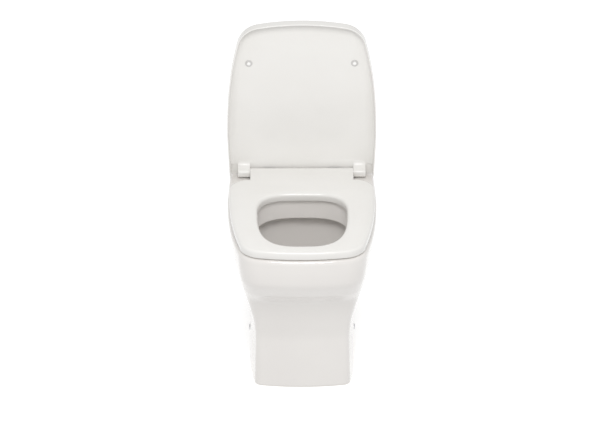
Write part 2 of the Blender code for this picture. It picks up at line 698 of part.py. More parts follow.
def make_wing_nut(name, place, top):
    """Round hub with two flat wings."""
    hub = 0.0090
    wing = 0.0200
    half_thickness = 0.0030
    blend = 20
    outline = [(wing, -half_thickness), (wing, half_thickness)]
    outline += arc((0, 0), hub, radians(blend), radians(180 - blend), 7)
    outline += [(-wing, half_thickness), (-wing, -half_thickness)]
    outline += arc((0, 0), hub, radians(180 + blend), radians(360 - blend), 7)
    nut = extruded_z(name, [(x + place[0], y + place[1]) for x, y in outline], top - 0.013, top)
    cut(nut, cylinder("thread_hole", BORE_RADIUS, top - 0.020, top + 0.010, place))
    return finish(nut, WHITE_PLASTIC)


# ---------------------------------------------------------------- plumbing seal and floor fixings

def make_inlet_seal():
    """Rubber collar in the flush inlet, with a flange over its end."""
    bore = 0.020
    outer = INLET_RADIUS - 0.0006
    flange = INLET_RADIUS + 0.006
    end = INLET_REAR_Y + GAP
    profile = ((bore + 0.003, end - 0.030), (outer - 0.004, end - 0.030), (outer, end - 0.018), (outer, end),
               (flange, end), (flange, end + 0.004), (bore, end + 0.004), (bore, end - 0.018))
    finish(revolve("inlet_seal", profile, (0, 0, INLET_Z), "Y", 20), BLACK_RUBBER)


def make_floor_fixings():
    for name, side in (("left", -1), ("right", 1)):
        make_floor_bracket("floor_bracket_" + name, side)
        head = FIXING_FACE_X - GAP - 0.0004
        screw = ((0, 0.098), (0.0015, 0.098), (0.0024, 0.101), (0.0024, head - 0.0030), (0.0052, head - 0.0030),
                 (0.0052, head - 0.0012), (0.0036, head), (0, head))
        place = (0, FIXING_Y, FIXING_Z)
        screw = tuple((r, side * h) for r, h in screw)
        finish(revolve("side_screw_" + name, screw, place, "X", 14), STEEL)
        base = FIXING_FACE_X + GAP
        cap = ((0, base), (0.0080, base), (0.0080, base + 0.0010), (0.0066, base + 0.0024),
               (0.0036, base + 0.0031), (0, base + 0.0033))
        cap = tuple((r, side * h) for r, h in cap)
        finish(revolve("side_cap_" + name, cap, place, "X", 18), STEEL)


def make_floor_bracket(name, side):
    """L-shaped bracket against the inner side of the skirt, with a floor hole and a side hole."""
    outer, inner, foot = 0.1122, 0.1062, 0.060
    rise, sole = 0.058, 0.006
    outline = [(side * x, z) for x, z in ((foot, 0), (outer, 0), (outer, rise), (inner, rise), (inner, sole),
                                          (foot, sole))]
    half_length = 0.022
    rings = [[(x, FIXING_Y + y, z) for x, z in outline] for y in (-half_length, half_length)]
    bracket = loft(name, rings)
    cut(bracket, cylinder("floor_hole", 0.0040, -0.010, 0.020, (side * 0.080, FIXING_Y, 0)))
    cut(bracket, cylinder("screw_hole", 0.0028, side * 0.100, side * 0.120, (0, FIXING_Y, FIXING_Z), "X", 12))
    return finish(bracket, GREY_PLASTIC)


def main():
    clear_scene()
    make_pan()
    make_inlet_seal()
    make_seat_fixings()
    make_floor_fixings()
    axis_place = (0, AXIS_Y, AXIS_Z)
    carrier = pivot("hinge_carrier", axis_place)
    seat_pivot = pivot("seat_pivot", (0, 0, 0), parent=carrier)
    lid_pivot = pivot("lid_pivot", (0, 0, 0), -LID_OPEN_ANGLE, carrier)
    make_hinges(carrier, seat_pivot, lid_pivot)
    make_release_buttons(carrier)
    make_seat(seat_pivot)
    make_seat_buffers(seat_pivot)
    make_lid(lid_pivot)
    make_lid_buffers(lid_pivot)
    bpy.context.view_layer.update()


main()
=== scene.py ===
"""Visual model of a back-to-wall toilet: glazed pan, soft-close seat and lid, hinges and fixings.

Metres, +Z up. The origin is on the floor, midway between the front of the rim and the wall.
"""
from math import cos, pi, radians, sin, tan

import bmesh
import bpy
from mathutils import Matrix, Vector


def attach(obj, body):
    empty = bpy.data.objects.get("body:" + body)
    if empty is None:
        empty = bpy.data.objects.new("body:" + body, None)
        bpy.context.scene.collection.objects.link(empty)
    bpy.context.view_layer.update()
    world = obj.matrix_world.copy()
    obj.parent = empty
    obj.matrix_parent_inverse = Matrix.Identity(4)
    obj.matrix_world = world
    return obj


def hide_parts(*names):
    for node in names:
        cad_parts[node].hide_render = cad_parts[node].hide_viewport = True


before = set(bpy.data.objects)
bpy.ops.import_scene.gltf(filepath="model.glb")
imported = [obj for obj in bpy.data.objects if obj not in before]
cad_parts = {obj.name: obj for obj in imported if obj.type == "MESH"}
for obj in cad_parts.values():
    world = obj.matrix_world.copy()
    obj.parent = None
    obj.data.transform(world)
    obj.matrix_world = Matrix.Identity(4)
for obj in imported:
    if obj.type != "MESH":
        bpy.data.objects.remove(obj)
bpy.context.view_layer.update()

# ---------------------------------------------------------------- sizes

FRONT_Y = -0.265
WALL_Y = 0.265
RIM_HEIGHT = 0.400
RIM_HALF_WIDTH = 0.180
AXIS = Vector((0.0, FRONT_Y + 0.405, RIM_HEIGHT + 0.0135))
LID_OPEN_ANGLE = radians(93)

RIM_WIDEST_Y = FRONT_Y + 0.300
RIM_REAR_HALF_WIDTH = 0.167
RIM_EDGE_RADIUS = 0.010
TAPER_POWER = 1.1
RIM_FRONT = (0.610, radians(10))
RIM_CORNER = (0.062, radians(76))
FOOT_FRONT_Y = FRONT_Y + 0.085
FOOT_FRONT = (0.560, radians(10.2))
FOOT_CORNER = (0.020, radians(80))
FOOT_WIDEST_Y = 0.030
FOOT_HALF_WIDTH = 0.1266
FOOT_REAR_HALF_WIDTH = 0.122
# (height, share of the way from the foot's outline to the rim's)
WIDTH_GROWTH = ((0.0, 0.0), (0.060, -0.025), (0.120, -0.05), (0.170, 0.04), (0.210, 0.24), (0.250, 0.49),
                (0.290, 0.71), (0.335, 0.88), (0.370, 0.965), (0.400, 1.0))
DEPTH_GROWTH = ((0.0, 0.0), (0.126, 0.0), (0.180, 0.10), (0.245, 0.29), (0.290, 0.68), (0.335, 0.97),
                (0.370, 1.0), (0.400, 1.0))
SHELL_WALL = 0.0112
DECK_UNDERSIDE = RIM_HEIGHT - 0.0158
FINE = (20, 30, 26, 30)

# (height, front y, rear y, half width) of the bowl's inside
BOWL_SECTIONS = ((0.386, -0.252, 0.058, 0.152), (0.352, -0.250, 0.054, 0.150),
                 (0.300, -0.232, 0.044, 0.135), (0.250, -0.195, 0.030, 0.112),
                 (0.200, -0.150, 0.015, 0.085), (0.150, -0.105, 0.000, 0.058),
                 (0.115, -0.085, -0.012, 0.042), (0.100, -0.070, -0.025, 0.025))
BOWL_WALL = 0.010
SKIRT_BOTTOM_Z = 0.352
# (height, how far the rim's inner wall stands outside the seat's opening)
RIM_GROWTH = ((SKIRT_BOTTOM_Z, 0.004), (0.388, 0.0115))
SKIRT_THICKNESS = 0.008
OPENING_FRONT = -0.364
OPENING_WIDEST = -0.200
OPENING_REAR = -0.120
OPENING_HALF_WIDTH = 0.108
OPENING_FRONT_POWERS = (3.0, 2.9)
SEAT_REAR_POWERS = (3.5, 2.5)
RIM_REAR_POWERS = (2.8, 2.4)
# (y, z) along the trapway's centre line
TRAP_PATH = ((-0.052, 0.152), (-0.032, 0.133), (-0.008, 0.121), (0.016, 0.119), (0.040, 0.132),
             (0.060, 0.162), (0.077, 0.200), (0.098, 0.231), (0.130, 0.243), (0.160, 0.229),
             (0.186, 0.202), (0.208, 0.187), (0.230, 0.183), (0.255, 0.183))
TRAP_RADIUS = 0.040
TRAP_WALL = 0.0108
INLET_Z = 0.342
INLET_RADIUS = 0.027
INLET_WALL = 0.008

SEAT_BOTTOM = -0.010
SEAT_TOP = 0.010
SEAT_INSET = 0.004
SEAT_BACK = -0.048
SEAT_CORNER_RADIUS = 0.048
SEAT_EDGE_WIDTH = 0.007
SEAT_EDGE_DROP = 0.006
SEAT_OPENING_EDGE = 0.0080
EXTENSION_HALF_WIDTH = 0.1244

LID_EDGE = -0.0115
LID_INNER = 0.0145
LID_TOP = 0.018
LID_WALL = 0.003
LID_LIP_RADIUS = 0.0013
LID_OUTER_RADIUS = 0.008
LID_FILLET_WIDTH = 0.024
LID_FILLET_HEIGHT = 0.0085
LID_REAR = 0.0122
LID_REAR_RADIUS = 0.010
LID_SWING_RADIUS = 0.0131
LID_GAP_HALF_WIDTH = 0.1705
LID_GAP_START = -0.0165
LUG_INNER_X = 0.125
LUG_OUTER_X = 0.154

BORE_RADIUS = 0.0043
DAMPER_BORE = 0.0063
BLOCK_INNER_X = 0.064
BLOCK_OUTER_X = 0.091
STUD_X = 0.0775
STUD_Y = AXIS.y - 0.009
FIXING_Y = 0.043
FIXING_Z = 0.037
FIXING_FACE_X = 0.1250
LID_PAD_X = 0.1275
LID_PAD_Y = -0.288
PIN_START_X = 0.0455
PIN_END_X = 0.1480
SEAT_DAMPER_X = (0.0984, 0.1240)
LID_DAMPER_X = (0.1254, 0.1496)
INLET_END_Y = 0.2003
CLEARANCE = 0.0003

# Y limits, at rest, of the lid pads' painted light: painted highlight at the tip, painted shade at the
# flange
PAD_TIP_Y = 0.1660
PAD_FLANGE_Y = 0.1674
CAMERA_ELEVATION = radians(30.5)
CAMERA_AZIMUTH = radians(0.36)
CAMERA_DISTANCE = 40.0
CAMERA_TARGET = Vector((-0.0051, 0.0, 0.3844))
VIEW_WIDTH = 1.446
FLOOR_HALF_SIZE = 14.0
WORLD_STRENGTH = 0.73
KEY_POWER = 31.5
FILL_POWER = 4.5


# ---------------------------------------------------------------- mesh helpers

FROM_Z = {"Z": Matrix(), "Y": Matrix.Rotation(-pi / 2, 4, "X"), "X": Matrix.Rotation(pi / 2, 4, "Y")}


def object_from(bm, name):
    bmesh.ops.recalc_face_normals(bm, faces=bm.faces)
    mesh = bpy.data.meshes.new(name)
    bm.to_mesh(mesh)
    bm.free()
    made = bpy.data.objects.new(name, mesh)
    bpy.context.scene.collection.objects.link(made)
    return made


def loft(name, rings):
    """Closed body through rings of equal length, capped at both ends."""
    bm = bmesh.new()
    loops = [[bm.verts.new(point) for point in ring] for ring in rings]
    count = len(loops[0])
    for lower, upper in zip(loops, loops[1:]):
        for i in range(count):
            j = (i + 1) % count
            bm.faces.new((lower[i], lower[j], upper[j], upper[i]))
    bm.faces.new(list(reversed(loops[0])))
    bm.faces.new(loops[-1])
    return object_from(bm, name)


def cylinder(name, radius, start, end, centre, axis="Z", segments=48):
    place = Matrix.Translation(centre) @ FROM_Z[axis]
    low, high = sorted((start, end))
    turns = [2 * pi * i / segments for i in range(segments)]
    rings = [[place @ Vector((radius * cos(turn), radius * sin(turn), h)) for turn in turns]
             for h in (low, high)]
    return loft(name, rings)


def extruded_x(name, outline, x0, x1):
    return loft(name, [[(x, y, z) for y, z in outline] for x in (x0, x1)])


def box(name, low, high):
    corners = ((low[0], low[1]), (high[0], low[1]), (high[0], high[1]), (low[0], high[1]))
    return loft(name, [[(x, y, z) for x, y in corners] for z in (low[2], high[2])])


def bake_modifiers(item):
    bpy.context.view_layer.update()
    graph = bpy.context.evaluated_depsgraph_get()
    mesh = bpy.data.meshes.new_from_object(item.evaluated_get(graph))
    item.modifiers.clear()
    item.data = mesh
    mesh.name = item.name
    return item


def combine(target, other, operation, solver="EXACT"):
    modifier = target.modifiers.new(operation.lower(), "BOOLEAN")
    modifier.operation = operation
    modifier.solver = solver
    modifier.object = other
    bake_modifiers(target)
    bpy.data.objects.remove(other, do_unlink=True)


def cut(target, *others):
    for other in others:
        combine(target, other, "DIFFERENCE")


def join(target, *others):
    for other in others:
        combine(target, other, "UNION")


def bevelled(item, width, segments=3, angle=35):
    """Small rounding on every sharp edge."""
    modifier = item.modifiers.new("edge_rounding", "BEVEL")
    modifier.width = width
    modifier.segments = segments
    modifier.limit_method = "ANGLE"
    modifier.angle_limit = radians(angle)
    modifier.harden_normals = False
    return item


def smooth(item, angle=32):
    item.data.shade_smooth()
    item.data.set_sharp_from_angle(angle=radians(angle))
    return item


def settle(item, body, nodes, finish, moved=None):
    """Give a piece its material and its place on a body, and hide the CAD nodes that it stands for."""
    item.data.materials.clear()
    item.data.materials.append(finish)
    if moved is not None:
        item.data.transform(moved)
    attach(item, body)
    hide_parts(*nodes)
    return item


def bezier(first, control, last, steps):
    """Points along a quadratic curve."""
    points = []
    for i in range(steps + 1):
        t = i / steps
        points.append(tuple((1 - t) ** 2 * a + 2 * t * (1 - t) * b + t ** 2 * c
                            for a, b, c in zip(first, control, last)))
    return points


def arc(centre, radius, start, end, steps):
    return [(centre[0] + radius * cos(start + (end - start) * i / steps),
             centre[1] + radius * sin(start + (end - start) * i / steps)) for i in range(steps + 1)]


def smooth_value(table, position):
    """Monotone cubic curve through a table of (position, value)."""
    steps = [(b[0] - a[0], (b[1] - a[1]) / (b[0] - a[0])) for a, b in zip(table, table[1:])]
    slopes = [0.0]
    for (h0, d0), (h1, d1) in zip(steps, steps[1:]):
        slopes.append(0.0 if d0 * d1 <= 0 else 3 * (h0 + h1) / ((2 * h1 + h0) / d0 + (h1 + 2 * h0) / d1))
    slopes.append(0.0)
    for i, (h, _) in enumerate(steps):
        if position <= table[i + 1][0] or i == len(steps) - 1:
            t = (position - table[i][0]) / h
            value = (2 * t**3 - 3 * t**2 + 1) * table[i][1] + (3 * t**2 - 2 * t**3) * table[i + 1][1]
            return value + h * ((t**3 - 2 * t**2 + t) * slopes[i] + (t**3 - t**2) * slopes[i + 1])


# ---------------------------------------------------------------- outlines from above

def half_outline(front_y, front, corner, widest_y, half_width, rear_y, rear_half_width, counts=FINE):
    """Right half of a D-shaped outline, front centre to rear: front arc, corner arc, side, taper."""
    front_radius, front_angle = front
    corner_radius, corner_angle = corner
    points = []
    for i in range(counts[0]):
        a = front_angle * i / counts[0]
        points.append((front_radius * sin(a), front_y + front_radius * (1 - cos(a))))
    centre_x = (front_radius - corner_radius) * sin(front_angle)
    centre_y = front_y + front_radius - (front_radius - corner_radius) * cos(front_angle)
    for i in range(counts[1]):
        a = front_angle + (corner_angle - front_angle) * i / counts[1]
        points.append((centre_x + corner_radius * sin(a), centre_y - corner_radius * cos(a)))
    end_x = centre_x + corner_radius * sin(corner_angle)
    end_y = centre_y - corner_radius * cos(corner_angle)
    swell = half_width - end_x
    length = widest_y - end_y
    power = tan(pi / 2 - corner_angle) * length / swell
    for i in range(counts[2]):
        u = 1 - i / counts[2]
        points.append((half_width - swell * u**power, widest_y - length * u))
    for i in range(counts[3] + 1):
        u = i / counts[3]
        points.append((half_width - (half_width - rear_half_width) * u**TAPER_POWER,
                       widest_y + (rear_y - widest_y) * u))
    return points


def rim_taper(y):
    u = (y - RIM_WIDEST_Y) / (WALL_Y - RIM_WIDEST_Y)
    return RIM_HALF_WIDTH - (RIM_HALF_WIDTH - RIM_REAR_HALF_WIDTH) * u**TAPER_POWER


def rim_outline(inset=0.0, rear_y=WALL_Y, counts=FINE):
    return half_outline(FRONT_Y + inset, (RIM_FRONT[0] - inset, RIM_FRONT[1]),
                        (RIM_CORNER[0] - inset, RIM_CORNER[1]), RIM_WIDEST_Y, RIM_HALF_WIDTH - inset,
                        rear_y, rim_taper(rear_y) - inset, counts)


def mirrored(half):
    return list(half) + [(-x, y) for x, y in reversed(half[1:])]


def at_height(ring, z):
    return [(x, y, z) for x, y in ring]


def inset_ring(ring, distance, fixed_y=None):
    """Move a counter-clockwise ring inwards; points on the fixed line slide along it."""
    moved = []
    for i, (x, y) in enumerate(ring):
        before = Vector(ring[i - 1])
        after = Vector(ring[(i + 1) % len(ring)])
        if fixed_y is not None and abs(y - fixed_y) < 1e-6:
            moved.append((x - distance if x > 0 else x + distance, y))
            continue
        tangent = (after - before).normalized()
        moved.append((x - tangent.y * distance, y + tangent.x * distance))
    return moved


def opening_ring(growth, rear_powers, steps=160):
    """Rounded opening of the seat or the rim, grown outwards by a distance; y is from the axis."""
    ring = []
    for i in range(steps):
        angle = 2 * pi * i / steps
        c, s = sin(angle), -cos(angle)
        side_power, end_power = OPENING_FRONT_POWERS if s < 0 else rear_powers
        end = (OPENING_WIDEST - OPENING_FRONT if s < 0 else OPENING_REAR - OPENING_WIDEST) + growth
        x = (OPENING_HALF_WIDTH + growth) * (abs(c) ** (2 / side_power)) * (1 if c > 0 else -1)
        y = OPENING_WIDEST + end * (abs(s) ** (2 / end_power)) * (1 if s > 0 else -1)
        ring.append((x, y))
    return ring


# ---------------------------------------------------------------- pan

def shell_section(z, counts=FINE):
    width = smooth_value(WIDTH_GROWTH, z)
    depth = smooth_value(DEPTH_GROWTH, z)
    foot = half_outline(FOOT_FRONT_Y, FOOT_FRONT, FOOT_CORNER, FOOT_WIDEST_Y, FOOT_HALF_WIDTH, WALL_Y,
                        FOOT_REAR_HALF_WIDTH, counts)
    rim = rim_outline(counts=counts)
    half = [(fx + (rx - fx) * width, fy + (ry - fy) * depth) for (fx, fy), (rx, ry) in zip(foot, rim)]
    return mirrored(half)


def pan_outside():
    levels = 72
    straight_top = RIM_HEIGHT - RIM_EDGE_RADIUS
    foot_round = 0.0015
    rings = [at_height(inset_ring(shell_section(0.0), foot_round, WALL_Y), 0.0),
             at_height(inset_ring(shell_section(0.0), foot_round * 0.3, WALL_Y), foot_round * 0.3)]
    for i in range(levels + 1):
        z = foot_round + (straight_top - foot_round) * i / levels
        rings.append(at_height(shell_section(z), z))
    top = shell_section(straight_top)
    steps = 10
    for i in range(1, steps + 1):
        angle = pi / 2 * i / steps
        ring = inset_ring(top, RIM_EDGE_RADIUS * (1 - cos(angle)), WALL_Y)
        rings.append(at_height(ring, RIM_HEIGHT - RIM_EDGE_RADIUS * (1 - sin(angle))))
    return loft("pan_ceramic", rings)


def hood_hollow():
    """Hollow of the skirt: open at the floor and at the wall, with a rounded top."""
    counts = (10, 12, 10, 10)
    beyond_wall = 0.010
    rings = []
    top_radius = 0.012
    levels = [(-0.010, 0.0)] + [(0.020 + 0.0175 * i, 0.0) for i in range(20)]
    for i in range(1, 6):
        angle = pi / 2 * i / 5
        z = DECK_UNDERSIDE - top_radius + top_radius * sin(angle)
        levels.append((z, top_radius * (1 - cos(angle))))
    for z, extra in levels:
        ring = inset_ring(shell_section(max(z, 0.0), counts), SHELL_WALL + extra, WALL_Y)
        ring = [(x, y + beyond_wall if abs(y - WALL_Y) < 1e-6 else y) for x, y in ring]
        rings.append(at_height(ring, z))
    return loft("hood_hollow", rings)


def rim_ring(growth, z):
    return at_height([(x, y + AXIS.y) for x, y in opening_ring(growth, RIM_REAR_POWERS)], z)


def rim_wall_growth(z):
    """How far the rim's inner wall stands outside the seat's opening at height z."""
    (low_z, low), (high_z, high) = RIM_GROWTH
    share = min(max((z - low_z) / (high_z - low_z), 0.0), 1.0)
    return low + (high - low) * share


def rim_opening_cutter():
    """Cutter for the rim's opening, with a rounded mouth and a rounded lower edge."""
    mouth, lower = 0.006, 0.003
    rings = [rim_ring(rim_wall_growth(0.0) + lower, SKIRT_BOTTOM_Z - 0.020)]
    for i in range(7):
        angle = pi / 2 * i / 6
        z = SKIRT_BOTTOM_Z + lower * (1 - cos(angle))
        rings.append(rim_ring(rim_wall_growth(z) + lower * (1 - sin(angle)), z))
    start = SKIRT_BOTTOM_Z + lower
    for i in range(1, 9):
        z = start + (RIM_HEIGHT - mouth - start) * i / 8
        rings.append(rim_ring(rim_wall_growth(z), z))
    top = rim_wall_growth(RIM_HEIGHT)
    for i in range(1, 7):
        angle = pi / 2 * i / 6
        rings.append(rim_ring(top + mouth * (1 - cos(angle)), RIM_HEIGHT - mouth + mouth * sin(angle)))
    rings.append(rim_ring(top + mouth, RIM_HEIGHT + 0.010))
    return loft("rim_opening", rings)


def rim_skirt():
    """Band that hangs below the deck round the opening, with a rounded lower edge."""
    lower = 0.004
    rings = []
    for i in range(6):
        angle = pi / 2 * i / 5
        z = SKIRT_BOTTOM_Z + lower * (1 - cos(angle))
        rings.append(rim_ring(rim_wall_growth(z) + SKIRT_THICKNESS - lower * (1 - sin(angle)), z))
    for z in (0.370, RIM_HEIGHT - 0.012):
        rings.append(rim_ring(rim_wall_growth(z) + SKIRT_THICKNESS, z))
    return loft("rim_skirt", rings)


def make_pan():
    """Shell, deck, rim and skirt in one casting."""
    pan = pan_outside()
    cut(pan, hood_hollow())
    join(pan, rim_skirt())
    cut(pan, rim_opening_cutter())
    for side in (-1, 1):
        stud = (side * STUD_X, STUD_Y, 0)
        cut(pan, cylinder("seat_hole", 0.0070, RIM_HEIGHT - 0.030, RIM_HEIGHT + 0.010, stud))
        centre = (0, FIXING_Y, FIXING_Z)
        outside = side * 0.140
        head_seat = side * (FIXING_FACE_X - 0.004)
        cut(pan, cylinder("screw_hole", 0.0030, side * 0.100, outside, centre, "X", 32))
        cut(pan, cylinder("head_hole", 0.0058, head_seat, outside, centre, "X"))
        cut(pan, cylinder("spot_face", 0.0085, side * FIXING_FACE_X, outside, centre, "X"))
    return smooth(pan, 28)


def bowl_ring(front, rear, half_width, steps=96, power=2.6):
    centre = (front + rear) / 2
    ring = []
    for i in range(steps):
        angle = 2 * pi * i / steps
        c, s = sin(angle), -cos(angle)
        ring.append((half_width * abs(c) ** (2 / power) * (1 if c > 0 else -1),
                     centre + (rear - front) / 2 * abs(s) ** (2 / power) * (1 if s > 0 else -1)))
    return ring


def bowl_body(name, wall, top_z, bottom_z):
    """Bowl profile from the sections, carried smoothly between them."""
    sections = sorted(BOWL_SECTIONS)
    tables = [[(row[0], row[column]) for row in sections] for column in (1, 2, 3)]
    lowest, highest = sections[0][0], sections[-1][0]
    rings = [at_height(bowl_ring(*[smooth_value(t, lowest) for t in tables]), bottom_z)]
    levels = 44
    for i in range(1, levels + 1):
        z = lowest + (highest - lowest) * i / levels
        front, rear, half_width = [smooth_value(t, z) for t in tables]
        rings.append(at_height(bowl_ring(front - wall, rear + wall, half_width + wall), z))
    front, rear, half_width = [smooth_value(t, highest) for t in tables]
    rings.append(at_height(bowl_ring(front - wall, rear + wall, half_width + wall), top_z))
    return loft(name, rings)


def smooth_path(path, steps=6):
    """Catmull-Rom curve through the path's points."""
    points = [Vector(p) for p in path]
    points = [2 * points[0] - points[1]] + points + [2 * points[-1] - points[-2]]
    made = []
    for a, b, c, d in zip(points, points[1:], points[2:], points[3:]):
        for i in range(steps):
            t = i / steps
            made.append(0.5 * ((2 * b) + (c - a) * t + (2 * a - 5 * b + 4 * c - d) * t**2
                               + (3 * b - a - 3 * c + d) * t**3))
    made.append(points[-2])
    return made


def tube_along(name, path, radius, sides=40):
    rings = []
    for i, (y, z) in enumerate(path):
        tangent = (path[min(i + 1, len(path) - 1)] - path[max(i - 1, 0)]).normalized()
        across = Vector((-tangent.y, tangent.x))
        ring = []
        for k in range(sides):
            angle = 2 * pi * k / sides
            offset = across * radius * sin(angle)
            ring.append((radius * cos(angle), y + offset.x, z + offset.y))
        rings.append(ring)
    return loft(name, rings)


def make_bowl():
    """Bowl, trapway and flush inlet: one soft-edged casting that hangs below the deck."""
    bowl = bowl_body("pan_bowl_and_trapway", BOWL_WALL - 0.0004, RIM_HEIGHT - 0.006, 0.0915)
    path = smooth_path(TRAP_PATH)
    beyond = path[-1] + Vector((0.020, 0.0))
    inlet_centre = (0, 0, INLET_Z)
    inlet_outer = INLET_RADIUS + INLET_WALL - 0.0004
    for part, operation in (
            (tube_along("trap_outside", path[6:], TRAP_RADIUS + TRAP_WALL), "UNION"),
            (cylinder("inlet_outside", inlet_outer, 0.050, 0.1995, inlet_centre, "Y"), "UNION"),
            (bowl_body("bowl_inside", 0.0, RIM_HEIGHT + 0.010, 0.100), "DIFFERENCE"),
            (tube_along("trap_inside", path + [beyond], TRAP_RADIUS), "DIFFERENCE"),
            (cylinder("inlet_inside", INLET_RADIUS, 0.072, 0.210, inlet_centre, "Y"), "DIFFERENCE"),
            (box("rim_duct", (-0.016, 0.045, 0.354), (0.016, 0.080, 0.366)), "DIFFERENCE")):
        combine(bowl, part, operation, "MANIFOLD")
    remesh = bowl.modifiers.new("soft_casting", "REMESH")
    remesh.mode = "VOXEL"
    remesh.voxel_size = 0.0026
    relax = bowl.modifiers.new("relax", "SMOOTH")
    relax.factor = 0.5
    relax.iterations = 8
    bake_modifiers(bowl)
    keep_inside(bowl)
    bowl.data.shade_smooth()
    return bowl


def keep_inside(item):
    """Level the remeshed casting's upper edge, which the deck hides."""
    for vertex in item.data.vertices:
        vertex.co.z = min(vertex.co.z, RIM_HEIGHT - 0.005)


# ---------------------------------------------------------------- seat

def seat_outline():
    front = rim_outline(SEAT_INSET, RIM_WIDEST_Y + 0.001)[:-(FINE[3] + 1)]
    half = [(x, y - AXIS.y) for x, y in front]
    radius = SEAT_CORNER_RADIUS
    half_width = RIM_HALF_WIDTH - SEAT_INSET
    start_y = RIM_WIDEST_Y - AXIS.y
    end_y = SEAT_BACK - radius
    half += [(half_width, start_y + (end_y - start_y) * i / 6) for i in range(6)]
    half += arc((half_width - radius, end_y), radius, 0.0, pi / 2, 24)
    return half


def seat_ring_body():
    outline = mirrored(seat_outline())
    levels = [(0.0015, SEAT_BOTTOM), (0.0005, SEAT_BOTTOM + 0.0004), (0.0, SEAT_BOTTOM + 0.0015)]
    steps = 10
    for i in range(steps + 1):
        angle = pi / 2 * i / steps
        levels.append((SEAT_EDGE_WIDTH * (1 - cos(angle)), SEAT_TOP - SEAT_EDGE_DROP * (1 - sin(angle))))
    return loft("seat_ring", [at_height(inset_ring(outline, inset), z) for inset, z in levels])


def seat_extension():
    outline = [(SEAT_BACK - 0.020, SEAT_BOTTOM), (SEAT_BACK - 0.020, SEAT_TOP)]
    outline += arc((0, 0), SEAT_TOP, pi / 2, -pi / 2, 36)
    return extruded_x("seat_extension", outline, -EXTENSION_HALF_WIDTH, EXTENSION_HALF_WIDTH)


def seat_opening_cutter():
    edge = SEAT_OPENING_EDGE
    levels = [(0.0015, SEAT_BOTTOM - 0.002), (0.0015, SEAT_BOTTOM - 0.00005),
              (0.0004, SEAT_BOTTOM + 0.0004), (0.0, SEAT_BOTTOM + 0.0015)]
    steps = 10
    for i in range(steps + 1):
        angle = pi / 2 * i / steps
        z = SEAT_TOP - edge * (1 - sin(angle)) + 0.00005 * i / steps
        levels.append((edge * (1 - cos(angle)), z))
    levels.append((edge, SEAT_TOP + 0.002))
    rings = [at_height(opening_ring(growth, SEAT_REAR_POWERS), z) for growth, z in levels]
    return loft("seat_opening", rings)


def hinge_pocket(side):
    skin = 0.0015
    radius = SEAT_TOP - skin
    outline = [(-0.026, SEAT_BOTTOM - 0.002), (-0.026, radius)]
    outline += arc((0, 0), radius, pi / 2, radians(30), 12)
    outline += [(0.012, 0.0069), (0.012, SEAT_BOTTOM - 0.002)]
    inner, outer = BLOCK_INNER_X - 0.001, BLOCK_OUTER_X + 0.001
    return extruded_x("hinge_pocket", outline, side * inner, side * outer)


def seat_buffer_places():
    return [(side * x, y) for x, y in ((0.118, -0.330), (0.135, -0.105)) for side in (-1, 1)]


def make_seat():
    seat = seat_ring_body()
    join(seat, seat_extension())
    cut(seat, seat_opening_cutter())
    for side in (-1, 1):
        cut(seat, hinge_pocket(side))
        cut(seat, cylinder("pin_bore", BORE_RADIUS, side * 0.044, side * 0.130, (0, 0, 0), "X", 36))
        cut(seat, cylinder("damper_bore", DAMPER_BORE, side * 0.098, side * 0.130, (0, 0, 0), "X", 40))
    for x, y in seat_buffer_places():
        start, end = SEAT_BOTTOM - 0.005, SEAT_BOTTOM + 0.0045
        cut(seat, cylinder("buffer_hole", 0.0043, start, end, (x, y, 0), "Z", 32))
    bevelled(seat, 0.0007, 3, 40)
    bake_modifiers(seat)
    return smooth(seat, 30)


# ---------------------------------------------------------------- lid

def lid_outline(inset):
    radius = max(LID_REAR_RADIUS - inset, 0.002)
    corner_y = LID_REAR - inset - radius
    half = [(x, y - AXIS.y) for x, y in rim_outline(inset, AXIS.y + corner_y)]
    half = half[:-1] + arc((half[-1][0] - radius, corner_y), radius, 0.0, pi / 2, 12)
    return mirrored(half)


def lid_outside():
    lip = LID_LIP_RADIUS
    levels = []
    for i in range(6, -1, -1):
        angle = pi / 2 * i / 6
        levels.append((lip * (1 - cos(angle)), LID_EDGE + lip * (1 - sin(angle))))
    steps = 12
    for i in range(steps + 1):
        angle = pi / 2 * i / steps
        z = LID_TOP - LID_OUTER_RADIUS * (1 - sin(angle))
        levels.append((LID_OUTER_RADIUS * (1 - cos(angle)), z))
    return loft("lid_tray", [at_height(lid_outline(inset), z) for inset, z in levels])


def lid_inside():
    start = LID_INNER - LID_FILLET_HEIGHT
    lip = LID_LIP_RADIUS
    rings = [at_height(lid_outline(LID_WALL - lip), LID_EDGE - 0.002)]
    for i in range(6, -1, -1):
        angle = pi / 2 * i / 6
        inset = LID_WALL - lip * (1 - cos(angle))
        rings.append(at_height(lid_outline(inset), LID_EDGE + lip * (1 - sin(angle)) - 0.00005 * i / 6))
    rings.append(at_height(lid_outline(LID_WALL), start))
    steps = 14
    for i in range(1, steps + 1):
        angle = pi / 2 * i / steps
        inset = LID_WALL + LID_FILLET_WIDTH * (1 - cos(angle))
        rings.append(at_height(lid_outline(inset), start + LID_FILLET_HEIGHT * sin(angle)))
    return loft("lid_hollow", rings)


def lid_lug(side):
    """Lug that leaves the lid's inner face in a hollow curve and rounds over towards the hinge axis."""
    bottom = -0.0095
    rear = 0.0110
    corner = 0.007
    front = -0.0240
    knee = (-0.0080, -0.0040)
    outline = [(front, LID_INNER + 0.001)]
    outline += bezier((front, LID_INNER - 0.0002), (-0.0110, LID_INNER), knee, 12)
    outline += bezier(knee, (-0.0062, bottom), (-0.0010, bottom), 8)[1:]
    outline += arc((rear - corner, bottom + corner), corner, -pi / 2, 0.0, 14)
    outline += [(rear, 0.009), (0.004, LID_INNER + 0.001)]
    return extruded_x("lid_lug", outline, side * LUG_INNER_X, side * LUG_OUTER_X)


